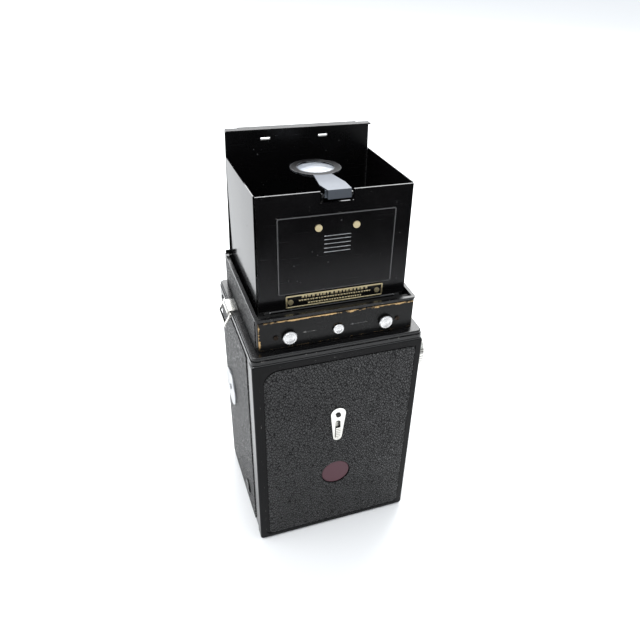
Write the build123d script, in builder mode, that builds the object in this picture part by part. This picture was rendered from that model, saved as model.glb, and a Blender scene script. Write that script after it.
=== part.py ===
"""Twin lens reflex camera for 6 x 6 cm roll film, with geared lenses and an open viewing hood.

Origin: the mouth of the tripod socket, at the middle of the bottom plane.
+Z up, the lenses face -Y, the back door is on +Y, and +X is the photographer's left.
"""
from build123d import *
import math
import os

os.makedirs("parts", exist_ok=True)

# ---------------------------------------------------------------- driving dimensions (mm)
BODY_X = 41.6            # half width of the metal body
BODY_FRONT = -34.0       # front edge of the body shell
BODY_REAR = 31.0         # rear edge of the body shell
BODY_TOP = 120.0
WALL = 1.6               # body wall
LEATHER = 0.4            # covering material
DOOR_FACE = 36.5         # sunk field of the back door, under its covering
DOOR_RIM = 36.9          # raised rim round that field
DOOR_WALL = 1.5
DECK_BASE = 120.2
DECK_TOP = 123.8
HEAD_X = 37.9            # half width of the head's metal
HEAD_FRONT = -33.7
HEAD_REAR = 31.5
HEAD_WALL = 1.2
HEAD_RIM = 140.5
SHEET = 0.4              # hood side sheet
PANEL = 0.7              # hood rear panel and lid sheet

TAKING_Z = 57.0          # taking lens axis
VIEWING_Z = 100.0        # viewing lens axis
GATE_Y = 28.0            # film plane
GATE = 28.5              # half of the 57 mm picture opening
FRAME_X = 34.2           # inner face of the film frame's side walls
TAKEUP = (18.5, 101.5)   # take-up spool axis, y and z
SUPPLY = (10.0, 15.5)    # supply spool axis, y and z
SPOOL_FLANGE = 11.0
SPOOL_HALF = 32.75       # half length of a spool
ROLLER_R = 2.0
TOP_ROLLER = (26.2, 89.6)
LOW_ROLLER = (26.0, 24.6)

HOOD_BASE_X = 35.45      # hood's outer half width at the head's rim
HOOD_TAPER = 0.45 / 53.0 # how much narrower it gets per mm of height
HOOD_TOP = 193.5
HOOD_FRONT_TOP = 190.6
HOOD_SIDE_FRONT = -29.8
HOOD_SIDE_REAR = 23.2
LEFT_HINGE_Z = 132.6
RIGHT_HINGE_Z = 134.0
SIDE_HINGE_X = 35.1
REAR_HINGE = (24.45, 138.8)
LID_HINGE = (-32.3, 141.6)
LID_TOP = 203.0
PIN_R = 0.5              # hood hinge pins
BARREL_R = 0.9
RUNNING = 0.05           # radial running clearance

MAGNIFIER_PIN = (24.5, 191.4)
MAGNIFIER_Y = -5.0       # ring centre
MAGNIFIER_RING = 11.4
MAGNIFIER_LENS = 8.4
ARM_Z = 193.6            # underside of the magnifier's arm
ARM_SHEET = 0.7

WINDOW_Z = 40.0          # red window centre
WINDOW_R = 7.7
BLADE_PIVOT_Z = 81.2
DOOR_HINGE = (32.2, 2.4)
DOOR_PIN_R = 0.8

BOARD_Y = -36.4          # front face of the lens board
HOUSING_FRONT = -46.0
GEAR_BACK = -49.0
GEAR_FRONT = -52.6
GEAR_TEETH = 54
GEAR_PITCH = (VIEWING_Z - TAKING_Z) / 2
CELL_R = 14.4            # front rim of each lens cell, where a filter slips on
CELL_BODY_R = 13.9       # the cell behind its rim, inside the gear ring
CELL_FRONT = -57.2
RIM_BACK = -54.0


def front_plane(y):
    """Plane facing -Y: local x is X, local y is Z."""
    return Plane.XZ.offset(-y)


def side_plane(x):
    """Plane facing +X: local x is Y, local y is Z."""
    return Plane.YZ.offset(x)


def level(z):
    return Plane.XY.offset(z)


def slab(x, y, z, mode=Mode.ADD):
    """A box given by its low and high limits along each axis."""
    middle = ((x[0] + x[1]) / 2, (y[0] + y[1]) / 2, (z[0] + z[1]) / 2)
    with Locations(middle):
        Box(x[1] - x[0], y[1] - y[0], z[1] - z[0], mode=mode)


def rod_x(radius, x, y, z, mode=Mode.ADD):
    """A cylinder along X between two limits."""
    with Locations(Location(((x[0] + x[1]) / 2, y, z), (0, 90, 0))):
        Cylinder(radius, x[1] - x[0], mode=mode)


def rod_y(radius, x, y, z, mode=Mode.ADD):
    """A cylinder along Y between two limits."""
    with Locations(Location((x, (y[0] + y[1]) / 2, z), (90, 0, 0))):
        Cylinder(radius, y[1] - y[0], mode=mode)


def rod_z(radius, x, y, z, mode=Mode.ADD):
    """A cylinder along Z between two limits."""
    with Locations((x, y, (z[0] + z[1]) / 2)):
        Cylinder(radius, z[1] - z[0], mode=mode)


def save(builder, name):
    builder.part.label = name
    export_step(builder.part, f"parts/{name}.step")


# ---------------------------------------------------------------- body
with BuildPart() as body_shell:
    with BuildSketch(side_plane(-BODY_X)):
        with Locations(((BODY_FRONT + BODY_REAR) / 2, (1.0 + BODY_TOP) / 2)):
            Rectangle(BODY_REAR - BODY_FRONT, BODY_TOP - 1.0)
    extrude(amount=2 * BODY_X)
    fillet(body_shell.edges().filter_by(Axis.Y), 2.0)
    inner_x = BODY_X - WALL
    slab((-inner_x, inner_x), (BODY_FRONT - 1, BODY_REAR + 1), (1.0 + WALL, BODY_TOP - WALL), Mode.SUBTRACT)
    # light trap lip inside the door's rim, on the top and the two sides
    slab((-inner_x, -inner_x + 1.0), (BODY_REAR - 4, BODY_REAR + 2.5), (8, BODY_TOP - WALL - 0.2))
    slab((inner_x - 1.0, inner_x), (BODY_REAR - 4, BODY_REAR + 2.5), (8, BODY_TOP - WALL - 0.2))
    slab((-inner_x, inner_x), (BODY_REAR - 4, BODY_REAR + 2.5), (BODY_TOP - WALL - 1.0, BODY_TOP - WALL))
    # the light's way up to the focusing screen
    slab((-31, 31), (-31, 28), (BODY_TOP - 4, BODY_TOP + 1), Mode.SUBTRACT)
    # winding shaft and supply pin holes
    rod_x(2.28, (-BODY_X - 1, -BODY_X + 4), *TAKEUP, Mode.SUBTRACT)
    rod_x(2.08, (BODY_X - 4, BODY_X + 1), *SUPPLY, Mode.SUBTRACT)
    # bottom hinge: notch for the door's knuckles, and the body's own two knuckles
    slab((-37, 37), (BODY_REAR - 2, BODY_REAR + 1), (0, 5.4), Mode.SUBTRACT)
    slab((-BODY_X - 1, BODY_X + 1), (BODY_REAR - 1.1, BODY_REAR + 1), (0, 4.0), Mode.SUBTRACT)
    for side in (-1, 1):
        middle = side * 26.0
        slab((middle - 4, middle + 4), (BODY_REAR - 3, DOOR_HINGE[0]), (1.0, DOOR_HINGE[1] + 1.2))
        rod_x(1.7, (middle - 4, middle + 4), *DOOR_HINGE)
    rod_x(DOOR_PIN_R, (-37, 37), *DOOR_HINGE, Mode.SUBTRACT)
    rod_z(6.0, 0, 0, (0.5, 4), Mode.SUBTRACT)
save(body_shell, "body_shell")

with BuildPart() as base_plate:
    with BuildSketch(level(0)):
        with Locations((0, (BODY_FRONT + BODY_REAR) / 2 - 0.6)):
            RectangleRounded(2 * BODY_X - 1.0, BODY_REAR - BODY_FRONT - 4.0, 3.0)
        Circle(8.05, mode=Mode.SUBTRACT)
    extrude(amount=1.0)
save(base_plate, "base_plate")

SOCKET_R = 3.175         # quarter inch tripod thread, as a smooth bore
with BuildPart() as tripod_bush:
    rod_z(8.0, 0, 0, (0, 1.0))
    rod_z(6.0, 0, 0, (1.0, 5.2))
    rod_z(SOCKET_R, 0, 0, (-1, 4.4), Mode.SUBTRACT)
    # four drive notches in the flange
    with PolarLocations(7.4, 4):
        Cylinder(0.7, 1.2, mode=Mode.SUBTRACT)
save(tripod_bush, "tripod_bush")

with BuildPart() as front_plate:
    with BuildSketch(front_plane(BODY_FRONT)):
        with Locations((0, (1.0 + BODY_TOP) / 2)):
            RectangleRounded(2 * BODY_X, BODY_TOP - 1.0, 2.0)
        with Locations((0, TAKING_Z)):
            Circle(13.0, mode=Mode.SUBTRACT)
        with Locations((0, VIEWING_Z)):
            Circle(13.0, mode=Mode.SUBTRACT)
    extrude(amount=1.2)
save(front_plate, "front_plate")

BOARD_X = 25.0
BOARD_LOW = 30.0
BOARD_HIGH = 119.0

def side_leather(side):
    """One sheet of covering on a body side, with holes for what passes through it."""
    start = BODY_X if side > 0 else -BODY_X - LEATHER
    with BuildPart() as sheet:
        with BuildSketch(side_plane(start)):
            with Locations(((BODY_FRONT + 24.5) / 2 + 0.6, 60.5)):
                RectangleRounded(24.5 - BODY_FRONT - 1.2, 114.0, 1.5)
            if side > 0:
                with Locations(SUPPLY):
                    Circle(4.3, mode=Mode.SUBTRACT)
            else:
                with Locations(TAKEUP):
                    Circle(5.2, mode=Mode.SUBTRACT)
        extrude(amount=LEATHER)
    return sheet.part


# covering sheets: one on the front round the lens board, one on each side
with BuildPart() as body_leathers:
    with BuildSketch(front_plane(BODY_FRONT - 1.2)):
        with Locations((0, (1.0 + BODY_TOP) / 2)):
            RectangleRounded(2 * BODY_X - 3.0, BODY_TOP - 4.0, 2.5)
        with Locations((0, (BOARD_LOW + BOARD_HIGH) / 2)):
            RectangleRounded(2 * BOARD_X + 0.4, BOARD_HIGH - BOARD_LOW + 0.4, 9.0, mode=Mode.SUBTRACT)
    extrude(amount=LEATHER)
    add(side_leather(1))
    add(side_leather(-1))
save(body_leathers, "body_leathers")

with BuildPart() as top_deck:
    with BuildSketch(level(DECK_BASE)):
        RectangleRounded(2 * BODY_X + 0.6, 73.4, 2.6)
    extrude(amount=1.7)
    with BuildSketch(level(DECK_BASE + 1.7)):
        RectangleRounded(2 * BODY_X - 0.2, 72.4, 2.4)
    extrude(amount=DECK_TOP - DECK_BASE - 1.7)
    top_edges = top_deck.faces().sort_by(Axis.Z)[-1].edges()
    fillet(top_edges, 0.6)
    slab((-31, 31), (-31, 28), (DECK_BASE - 1, DECK_TOP + 1), Mode.SUBTRACT)
save(top_deck, "top_deck")

# ---------------------------------------------------------------- film frame, mirror and screen
MIRROR_MIDDLE_Y = -2.0
MIRROR_HALF = 28.0       # half length up the slope
mirror_plane = Plane(
    origin=(0, MIRROR_MIDDLE_Y, VIEWING_Z), x_dir=(1, 0, 0), z_dir=(0, -1, 1)
)

with BuildPart() as film_frame:
    # two side walls that carry the spools and rollers
    for side in (-1, 1):
        near, far = sorted((side * FRAME_X, side * (FRAME_X + 1.2)))
        slab((near, far), (-29.0, 30.0), (2.8, 117.2))
    rod_x(2.28, (-FRAME_X - 2, -FRAME_X + 1), *TAKEUP, Mode.SUBTRACT)
    rod_x(2.08, (FRAME_X - 1, FRAME_X + 2), *SUPPLY, Mode.SUBTRACT)
    for roller in (TOP_ROLLER, LOW_ROLLER):
        rod_x(0.88, (-FRAME_X - 2, FRAME_X + 2), *roller, Mode.SUBTRACT)
    # fixed stubs for the other end of each spool
    rod_x(2.0, (FRAME_X - 2.6, FRAME_X + 0.5), *TAKEUP)
    rod_x(2.0, (-FRAME_X - 0.5, -FRAME_X + 2.6), *SUPPLY)
save(film_frame, "film_frame")

GATE_HALF_HEIGHT = 29.6
with BuildPart() as film_gate:
    # plate behind the film, with a raised runner on each side of the picture opening
    gate_z = (TAKING_Z - GATE_HALF_HEIGHT, TAKING_Z + GATE_HALF_HEIGHT)
    slab((-FRAME_X, FRAME_X), (GATE_Y - 2.4, GATE_Y - 0.6), gate_z)
    for side in (-1, 1):
        near, far = sorted((side * 30.4, side * 32.0))
        slab((near, far), (GATE_Y - 0.6, GATE_Y), gate_z)
    # light cone that narrows towards the lens
    with BuildSketch(front_plane(GATE_Y - 2.0)):
        with Locations((0, TAKING_Z)):
            Rectangle(2 * GATE + 1.8, 2 * GATE + 1.8)
    with BuildSketch(front_plane(-31.0)):
        with Locations((0, TAKING_Z)):
            Rectangle(31, 31)
    loft()
    with BuildSketch(front_plane(GATE_Y - 1.9)):
        with Locations((0, TAKING_Z)):
            Rectangle(2 * GATE, 2 * GATE)
    with BuildSketch(front_plane(-31.5)):
        with Locations((0, TAKING_Z)):
            Rectangle(29.2, 29.2)
    loft(mode=Mode.SUBTRACT)
    slab((-GATE, GATE), (GATE_Y - 2.0, GATE_Y + 1), (TAKING_Z - GATE, TAKING_Z + GATE), Mode.SUBTRACT)
save(film_gate, "film_gate")

with BuildPart() as mirror_shelf:
    with BuildSketch(mirror_plane.offset(-1.6)):
        with Locations((0, -2.0)):
            Rectangle(2 * FRAME_X, 2 * MIRROR_HALF)
    extrude(amount=0.5)
save(mirror_shelf, "mirror_shelf")

with BuildPart() as mirror:
    with BuildSketch(mirror_plane.offset(-1.1)):
        with Locations((0, -2.0)):
            Rectangle(58, 2 * MIRROR_HALF - 3)
    extrude(amount=1.1)
save(mirror, "mirror")

SCREEN_Z = 124.4
with BuildPart() as focusing_screen:
    slab((-29.5, 29.5), (-31.0, 26.8), (SCREEN_Z, SCREEN_Z + 1.8))
    chamfer(focusing_screen.edges().group_by(Axis.Z)[-1], 0.3)
save(focusing_screen, "focusing_screen")

# ---------------------------------------------------------------- head
HEAD_MIDDLE = (HEAD_FRONT + HEAD_REAR) / 2
HEAD_DEPTH = HEAD_REAR - HEAD_FRONT
BUTTON_Z = 129.9
BUTTON_X = 23.2
with BuildPart() as head_housing:
    with BuildSketch(level(DECK_TOP)):
        with Locations((0, HEAD_MIDDLE)):
            RectangleRounded(2 * HEAD_X, HEAD_DEPTH, 1.0)
            Rectangle(2 * (HEAD_X - HEAD_WALL), HEAD_DEPTH - 2 * HEAD_WALL, mode=Mode.SUBTRACT)
    extrude(amount=HEAD_RIM - DECK_TOP)
    # rolled bead round the rim, outside
    with BuildSketch(level(HEAD_RIM - 1.0)):
        with Locations((0, HEAD_MIDDLE)):
            RectangleRounded(2 * HEAD_X + 0.8, HEAD_DEPTH + 0.8, 1.4)
            RectangleRounded(2 * HEAD_X - 0.4, HEAD_DEPTH - 0.4, 0.8, mode=Mode.SUBTRACT)
    extrude(amount=1.0)
    # shelf that the screen rests on
    with BuildSketch(level(DECK_TOP)):
        with Locations((0, HEAD_MIDDLE)):
            Rectangle(2 * HEAD_X - 1, HEAD_DEPTH - 1)
        with Locations((0, -2.1)):
            Rectangle(57.0, 56.0, mode=Mode.SUBTRACT)
    extrude(amount=SCREEN_Z - DECK_TOP)
    rod_y(2.68, 0, (25, 40), BUTTON_Z, Mode.SUBTRACT)
    for side in (-1, 1):
        rod_y(1.58, side * BUTTON_X, (25, 40), BUTTON_Z, Mode.SUBTRACT)
save(head_housing, "head_housing")

with BuildPart() as head_leather:
    with BuildSketch(level(DECK_TOP + 0.3)):
        with Locations((0, HEAD_MIDDLE)):
            RectangleRounded(2 * HEAD_X + 2 * LEATHER, HEAD_DEPTH + 2 * LEATHER, 1.4)
            RectangleRounded(2 * HEAD_X, HEAD_DEPTH, 1.0, mode=Mode.SUBTRACT)
    extrude(amount=HEAD_RIM - 1.1 - DECK_TOP - 0.3)
    # the rear is bare for the enamelled plate
    slab((-60, 60), (HEAD_REAR - 1.6, 60), (100, 160), Mode.SUBTRACT)
save(head_leather, "head_leather")

PLATE_LOW = DECK_TOP + 0.5
PLATE_HIGH = 138.6
with BuildPart() as head_rear_plate:
    with BuildSketch(front_plane(HEAD_REAR)):
        with Locations((0, (PLATE_LOW + PLATE_HIGH) / 2)):
            RectangleRounded(2 * HEAD_X - 1.4, PLATE_HIGH - PLATE_LOW, 0.8)
        with Locations((0, BUTTON_Z)):
            Circle(2.9, mode=Mode.SUBTRACT)
        with Locations((-BUTTON_X, BUTTON_Z), (BUTTON_X, BUTTON_Z)):
            Circle(1.58, mode=Mode.SUBTRACT)
    extrude(amount=-LEATHER)
save(head_rear_plate, "head_rear_plate")

# identical round-head screws: two on the head's rear plate, four on the lens board
SCREW_R = 1.1
BOARD_SCREWS = [(-20.5, 34.5), (20.5, 34.5), (-20.5, 114.5), (20.5, 114.5)]
with BuildPart() as small_screws:
    for x in (-29.4, 29.4):
        rod_y(SCREW_R, x, (HEAD_REAR + LEATHER, HEAD_REAR + LEATHER + 0.5), BUTTON_Z + 0.4)
        slab((x - 0.2, x + 0.2), (HEAD_REAR + 0.7, 40), (BUTTON_Z - 2, BUTTON_Z + 3), Mode.SUBTRACT)
    for x, z in BOARD_SCREWS:
        rod_y(SCREW_R + 0.5, x, (BOARD_Y - 0.7, BOARD_Y), z)
        slab((x - 2, x + 2), (BOARD_Y - 2, BOARD_Y - 0.4), (z - 0.25, z + 0.25), Mode.SUBTRACT)
save(small_screws, "small_screws")

with BuildPart() as hood_base:
    # bezel over the screen and up to the head's walls
    wide = HEAD_X - HEAD_WALL - 0.1
    back = HEAD_REAR - HEAD_WALL - 0.1
    front = HEAD_FRONT + HEAD_WALL + 0.1
    slab((-wide, wide), (front, back), (SCREEN_Z + 1.8, SCREEN_Z + 2.4))
    slab((-28.5, 28.5), (-30.2, 26.0), (SCREEN_Z, SCREEN_Z + 4), Mode.SUBTRACT)
    # rear web and ledge, front web
    slab((-wide, wide), (26.0, 26.8), (SCREEN_Z + 2, 138.9))
    slab((-wide, wide), (26.0, back), (138.1, 138.9))
    slab((-wide, wide), (front, front + 0.8), (SCREEN_Z + 2, 140.2))
    # posts for the side hinges' pins
    for side, pin_z in ((1, LEFT_HINGE_Z), (-1, RIGHT_HINGE_Z)):
        near, far = sorted((side * (SIDE_HINGE_X - 1.1), side * (SIDE_HINGE_X + 1.1)))
        slab((near, far), (front, HOOD_SIDE_FRONT - 0.4), (SCREEN_Z + 2, pin_z + 1.2))
        slab((near, far), (HOOD_SIDE_REAR + 0.4, 26.8), (SCREEN_Z + 2, pin_z + 1.2))
    # lugs for the rear panel's pin and for the lid's pin
    for side in (-1, 1):
        near, far = sorted((side * 30.2, side * 32.6))
        slab((near, far), (REAR_HINGE[0] - 0.2, 26.6), (REAR_HINGE[1] - 0.9, REAR_HINGE[1] + 0.1))
        rod_x(BARREL_R, (near, far), *REAR_HINGE)
        near, far = sorted((side * 29.0, side * 31.4))
        slab((near, far), (front, front + 0.8), (139.0, LID_HINGE[1]))
        rod_x(BARREL_R, (near, far), *LID_HINGE)
    rod_x(PIN_R, (-33, 33), *REAR_HINGE, Mode.SUBTRACT)
    rod_x(PIN_R, (-33, 33), *LID_HINGE, Mode.SUBTRACT)
    rod_y(PIN_R, SIDE_HINGE_X, (front + 1.2, 25.4), LEFT_HINGE_Z, Mode.SUBTRACT)
    rod_y(PIN_R, -SIDE_HINGE_X, (front + 1.2, 25.4), RIGHT_HINGE_Z, Mode.SUBTRACT)
save(hood_base, "hood_base")

with BuildPart() as hinge_pins:
    rod_x(PIN_R, (-32.6, 32.6), *REAR_HINGE)
    rod_x(PIN_R, (-31.4, 31.4), *LID_HINGE)
    rod_y(PIN_R, SIDE_HINGE_X, (front + 1.2, 25.4), LEFT_HINGE_Z)
    rod_y(PIN_R, -SIDE_HINGE_X, (front + 1.2, 25.4), RIGHT_HINGE_Z)
    rod_x(DOOR_PIN_R, (-34.8, 34.8), *DOOR_HINGE)
save(hinge_pins, "hinge_pins")


def turned_button(x, head_r, stem_r, head_y, proud):
    """A push button with a shallow dished face, on a stem through the head's rear wall."""
    with BuildPart() as button:
        rod_y(head_r, x, (head_y, head_y + proud), BUTTON_Z)
        face = button.faces().sort_by(Axis.Y)[-1]
        chamfer(face.edges(), 0.35)
        rod_y(head_r - 1.1, x, (head_y + proud - 0.25, head_y + proud + 1), BUTTON_Z, Mode.SUBTRACT)
        rod_y(stem_r, x, (29.0, head_y), BUTTON_Z)
    return button


FACE_Y = HEAD_REAR + LEATHER
hood_release_button = turned_button(0, 2.6, 2.0, 30.6, 2.5)
save(hood_release_button, "hood_release_button")
latch_button_left = turned_button(BUTTON_X, 3.3, 1.5, FACE_Y + 0.8, 1.2)
save(latch_button_left, "latch_button_left")
latch_button_right = turned_button(-BUTTON_X, 3.3, 1.5, FACE_Y + 0.8, 1.2)
save(latch_button_right, "latch_button_right")


# ---------------------------------------------------------------- viewing hood
def hood_x(z):
    """The hood's outer half width at a height."""
    return HOOD_BASE_X - HOOD_TAPER * (z - HEAD_RIM)


def hood_side(side, hinge_z):
    """One folding side: a thin sheet leaning inwards on a row of hinge barrels."""
    low = hinge_z
    with BuildPart() as panel:
        with BuildSketch(side_plane(0)):
            with BuildLine():
                Polyline(
                    (HOOD_SIDE_FRONT, low),
                    (HOOD_SIDE_REAR, low),
                    (HOOD_SIDE_REAR, HOOD_TOP),
                    (HOOD_SIDE_FRONT, HOOD_FRONT_TOP),
                    close=True,
                )
            make_face()
        extrude(amount=60 * side)
        with BuildSketch(front_plane(HOOD_SIDE_REAR + 5)):
            with BuildLine():
                Polyline(
                    (side * (hood_x(low) - SHEET), low),
                    (side * hood_x(low), low),
                    (side * hood_x(HOOD_TOP + 4), HOOD_TOP + 4),
                    (side * (hood_x(HOOD_TOP + 4) - SHEET), HOOD_TOP + 4),
                    close=True,
                )
            make_face()
        extrude(amount=70, mode=Mode.INTERSECT)
        for start in (-27.0, -9.0, 9.0):
            rod_y(BARREL_R, side * SIDE_HINGE_X, (start, start + 11), hinge_z)
        slab((-60, 60), (-40, -27.2), (hinge_z - 2, hinge_z + 1.3), Mode.SUBTRACT)
        slab((-60, 60), (20.2, 40), (hinge_z - 2, hinge_z + 1.3), Mode.SUBTRACT)
        rod_y(PIN_R + RUNNING, side * SIDE_HINGE_X, (-40, 40), hinge_z, Mode.SUBTRACT)
    return panel


hood_side_left = hood_side(1, LEFT_HINGE_Z)
save(hood_side_left, "hood_side_left")
hood_side_right = hood_side(-1, RIGHT_HINGE_Z)
save(hood_side_right, "hood_side_right")

PANEL_INSET = SHEET + 0.15       # the rear panel passes between the two sides
PANEL_OUT = REAR_HINGE[0] + PANEL / 2
FIELD_PROUD = 0.6        # how far the panel's pressed field stands out
NOTCH_X = 7.4
NOTCH_Z = 188.6
BRACKET_RIVETS = [(8.2, 178.0), (-8.8, 177.8)]
NAMEPLATE_RIVETS = [(20.6, 143.4), (-20.6, 143.4)]
with BuildPart() as hood_rear_panel:
    with BuildSketch(front_plane(PANEL_OUT)):
        with BuildLine():
            low_x = hood_x(REAR_HINGE[1]) - PANEL_INSET
            top_x = hood_x(HOOD_TOP) - PANEL_INSET
            Polyline(
                (-low_x, REAR_HINGE[1]),
                (low_x, REAR_HINGE[1]),
                (top_x, HOOD_TOP),
                (-top_x, HOOD_TOP),
                close=True,
            )
        make_face()
        with Locations((0, HOOD_TOP)):
            Rectangle(2 * NOTCH_X, 2 * (HOOD_TOP - NOTCH_Z), mode=Mode.SUBTRACT)
    extrude(amount=PANEL)
    # pressed field, raised outwards
    with BuildSketch(front_plane(PANEL_OUT)):
        with Locations((-0.5, 165.6)):
            RectangleRounded(53.2, 36.4, 1.2)
    extrude(amount=-FIELD_PROUD, taper=15)
    for start in (-29.8, -10.0, 10.0):
        rod_x(BARREL_R, (start, start + 19.8 if start != 10.0 else 29.8), *REAR_HINGE)
    for side in (-1, 1):
        near, far = sorted((side * 29.9, side * 60))
        slab((near, far), (10, 40), (REAR_HINGE[1] - 2, REAR_HINGE[1] + 1.3), Mode.SUBTRACT)
    rod_x(PIN_R + RUNNING, (-60, 60), *REAR_HINGE, Mode.SUBTRACT)
    for x, z in BRACKET_RIVETS + NAMEPLATE_RIVETS:
        rod_y(0.6, x, (20, 30), z, Mode.SUBTRACT)
save(hood_rear_panel, "hood_rear_panel")

with BuildPart() as nameplate:
    with BuildSketch(front_plane(PANEL_OUT)):
        with Locations((-0.4, 143.4)):
            RectangleRounded(46.6, 6.6, 0.9)
        with Locations(*NAMEPLATE_RIVETS):
            Circle(0.6, mode=Mode.SUBTRACT)
    extrude(amount=-0.5)
save(nameplate, "nameplate")

with BuildPart() as panel_rivets:
    for x, z in NAMEPLATE_RIVETS:
        rod_y(0.6, x, (PANEL_OUT - PANEL, PANEL_OUT + 0.5), z)
        rod_y(1.3, x, (PANEL_OUT + 0.5, PANEL_OUT + 0.9), z)
    for x, z in BRACKET_RIVETS:
        rod_y(0.6, x, (PANEL_OUT - PANEL, PANEL_OUT + FIELD_PROUD), z)
        rod_y(1.6, x, (PANEL_OUT + FIELD_PROUD, PANEL_OUT + FIELD_PROUD + 0.55), z)
save(panel_rivets, "panel_rivets")

PANEL_IN = PANEL_OUT - PANEL
with BuildPart() as magnifier_bracket:
    slab((-11.0, 11.0), (PANEL_IN - 0.45, PANEL_IN), (175.0, 187.8))
    for side in (-1, 1):
        near, far = sorted((side * 6.1, side * 6.9))
        slab((near, far), (PANEL_IN - 0.45, PANEL_OUT), (187.0, MAGNIFIER_PIN[1] + 1.0))
    slab((-7.2, 7.2), (PANEL_IN, PANEL_OUT + 1), (180, NOTCH_Z + 0.05), Mode.SUBTRACT)
    rod_x(PIN_R, (-6.9, 6.9), *MAGNIFIER_PIN)
save(magnifier_bracket, "magnifier_bracket")

# the arm stands open a little lower at the ring than at the pin
MAGNIFIER_AXIS = Axis((0, *MAGNIFIER_PIN), (1, 0, 0))
MAGNIFIER_DROOP = 3.5
with BuildPart() as magnifier_arm:
    # flat arm, narrow at the ring and wide at the pin
    with BuildSketch(level(ARM_Z)):
        with BuildLine():
            Polyline(
                (4.2, 4.0),
                (4.6, 8.0),
                (5.9, 19.0),
                (4.6, 26.2),
                (-5.7, 26.2),
                (-5.9, 18.0),
                (-3.4, 4.0),
                close=True,
            )
        make_face()
        with Locations((0, MAGNIFIER_Y)):
            Circle(MAGNIFIER_RING)
            Circle(MAGNIFIER_LENS, mode=Mode.SUBTRACT)
    extrude(amount=ARM_SHEET)
    # the ring's collar hangs below the sheet
    with BuildSketch(level(ARM_Z - 1.2)):
        with Locations((0, MAGNIFIER_Y)):
            Circle(MAGNIFIER_LENS + 0.7)
            Circle(MAGNIFIER_LENS, mode=Mode.SUBTRACT)
    extrude(amount=1.3)
    # finger lip bent down outside the panel
    slab((-5.7, 4.6), (25.5, 26.2), (190.4, ARM_Z + 0.2))
    # web and barrel on the pin
    slab((-5.4, 5.4), (MAGNIFIER_PIN[0] - 0.5, MAGNIFIER_PIN[0] + 0.5), (MAGNIFIER_PIN[1], ARM_Z + 0.2))
    rod_x(BARREL_R, (-5.7, 5.7), *MAGNIFIER_PIN)
    rod_x(PIN_R + RUNNING, (-8, 8), *MAGNIFIER_PIN, Mode.SUBTRACT)
magnifier_arm.part = magnifier_arm.part.rotate(MAGNIFIER_AXIS, MAGNIFIER_DROOP)
save(magnifier_arm, "magnifier_arm")


def dome_sag(radius, bulge, at):
    """How far a dome of a rim radius and a height has dropped at a distance from its top."""
    ball = (radius**2 + bulge**2) / (2 * bulge)
    return ball - math.sqrt(ball**2 - at**2)


DOME_TOP = ARM_Z + 1.55
with BuildPart() as magnifier_glass:
    # plano-convex lens, domed upwards
    with BuildSketch(Plane.YZ):
        with BuildLine():
            Line((MAGNIFIER_Y, ARM_Z - 1.0), (MAGNIFIER_Y + MAGNIFIER_LENS, ARM_Z - 1.0))
            Line((MAGNIFIER_Y + MAGNIFIER_LENS, ARM_Z - 1.0), (MAGNIFIER_Y + MAGNIFIER_LENS, ARM_Z + 0.1))
            half = MAGNIFIER_LENS / 2
            ThreePointArc(
                (MAGNIFIER_Y + MAGNIFIER_LENS, ARM_Z + 0.1),
                (MAGNIFIER_Y + half, DOME_TOP - dome_sag(MAGNIFIER_LENS, 1.45, half)),
                (MAGNIFIER_Y, DOME_TOP),
            )
            Line((MAGNIFIER_Y, DOME_TOP), (MAGNIFIER_Y, ARM_Z - 1.0))
        make_face()
    revolve(axis=Axis((0, MAGNIFIER_Y, 0), (0, 0, 1)))
magnifier_glass.part = magnifier_glass.part.rotate(MAGNIFIER_AXIS, MAGNIFIER_DROOP)
save(magnifier_glass, "magnifier_glass")

LID_IN = -30.6
LID_OUT = LID_IN - PANEL
LID_LOW_X = 36.2         # half widths of the lid at its foot and at its top
LID_TOP_X = 34.6
LID_LOW = LID_HINGE[1]
LIP = 3.0                # depth of the top lip
with BuildPart() as hood_lid:
    with BuildSketch(front_plane(LID_IN)):
        with BuildLine():
            Polyline(
                (-LID_LOW_X, LID_LOW),
                (LID_LOW_X, LID_LOW),
                (LID_TOP_X, LID_TOP),
                (-LID_TOP_X, LID_TOP),
                close=True,
            )
        make_face()
    extrude(amount=PANEL)
    # ears at the lower corners
    for side in (-1, 1):
        near, far = sorted((side * 34.0, side * 38.2))
        slab((near, far), (LID_OUT, LID_IN), (LID_LOW - 0.4, LID_LOW + 1.7))
    # middle of the front pressed forward
    with BuildSketch(front_plane(LID_OUT)):
        with Locations((0, (LID_LOW + 6 + LID_TOP) / 2)):
            RectangleRounded(58, LID_TOP - LID_LOW - 6, 1.0)
    extrude(amount=1.0)
    # top lip turned back over the hood
    slab((-LID_TOP_X, LID_TOP_X), (LID_OUT, LID_IN + LIP), (LID_TOP - 0.6, LID_TOP))
    # two sighting slots
    for x in (16.1, -11.7):
        slab((x - 2.3, x + 2.3), (-40, LID_IN + 0.5), (197.2, 198.3), Mode.SUBTRACT)
    # hinge barrels
    slab((-28.6, 28.6), (LID_HINGE[0], LID_OUT + 0.3), (LID_LOW, LID_LOW + 0.8))
    rod_x(BARREL_R, (-28.6, 28.6), *LID_HINGE)
    rod_x(PIN_R + RUNNING, (-60, 60), *LID_HINGE, Mode.SUBTRACT)
save(hood_lid, "hood_lid")

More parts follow.
